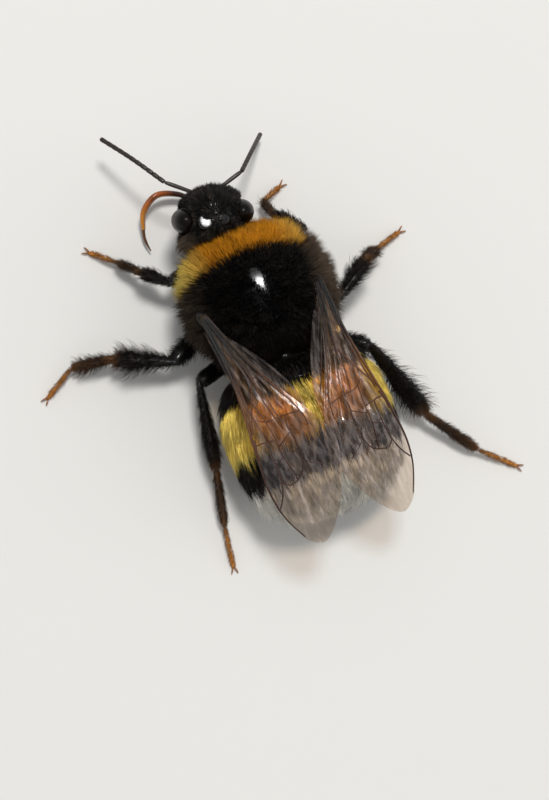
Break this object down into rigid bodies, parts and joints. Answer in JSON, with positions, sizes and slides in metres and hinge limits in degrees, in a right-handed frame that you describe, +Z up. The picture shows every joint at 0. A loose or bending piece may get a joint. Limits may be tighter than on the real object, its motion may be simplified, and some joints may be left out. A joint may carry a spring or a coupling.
{
  "type": "bumblebee",
  "caption": "Life-size queen bumblebee resting on spread legs, wings folded back over the abdomen, golden collar and belt, white tail, tongue swung out to the left.",
  "frame": {"origin": "middle of the footprint, on the floor that the feet rest on", "axes": "+X to the bee's left, +Y towards its tail, +Z up"},
  "size_m": [0.0264, 0.028, 0.0092],
  "materials": {
    "coat_black": "dense black hair, soft, browner at the tips",
    "coat_gold": "dense golden orange hair, soft",
    "coat_lemon": "dense lemon yellow hair, darker at the roots",
    "coat_white": "dense off-white hair, soft",
    "leg": "black-brown horn under short dark hair",
    "foot": "amber to reddish brown horn, translucent look",
    "feeler": "black-brown horn, satin",
    "jaw": "black horn, smooth",
    "tongue": "amber horn, smooth",
    "eye": "glossy black, finely faceted",
    "wing": "smoky brown membrane, glossy, with dark veins"
  },
  "bodies": {
    "root": {"abdomen_ring_1": "coat_black", "abdomen_ring_2": "coat_lemon", "abdomen_ring_3": "coat_black", "abdomen_ring_4": "coat_white", "abdomen_ring_5": "coat_white", "abdomen_ring_6": "coat_black", "basitarsus_left_fore": "leg", "basitarsus_left_hind": "leg", "basitarsus_left_mid": "leg", "basitarsus_right_fore": "leg", "basitarsus_right_hind": "leg", "basitarsus_right_mid": "leg", "collar": "coat_gold", "coxa_left_fore": "leg", "coxa_left_hind": "leg", "coxa_left_mid": "leg", "coxa_right_fore": "leg", "coxa_right_hind": "leg", "coxa_right_mid": "leg", "eye_left": "eye", "eye_right": "eye", "femur_left_fore": "leg", "femur_left_hind": "leg", "femur_left_mid": "leg", "femur_right_fore": "leg", "femur_right_hind": "leg", "femur_right_mid": "leg", "flagellum_left": "feeler", "flagellum_right": "feeler", "forewing_left": "wing", "forewing_right": "wing", "head": "coat_black", "hindwing_left": "wing", "hindwing_right": "wing", "mandible_left": "jaw", "mandible_right": "jaw", "scape_left": "feeler", "scape_right": "feeler", "tarsus_left_fore": "foot", "tarsus_left_hind": "foot", "tarsus_left_mid": "foot", "tarsus_right_fore": "foot", "tarsus_right_hind": "foot", "tarsus_right_mid": "foot", "thorax": "coat_black", "tibia_left_fore": "leg", "tibia_left_hind": "leg", "tibia_left_mid": "leg", "tibia_right_fore": "leg", "tibia_right_hind": "leg", "tibia_right_mid": "leg", "tongue_sheath": "tongue", "tongue_tip": "tongue"}
  },
  "joints": []
}
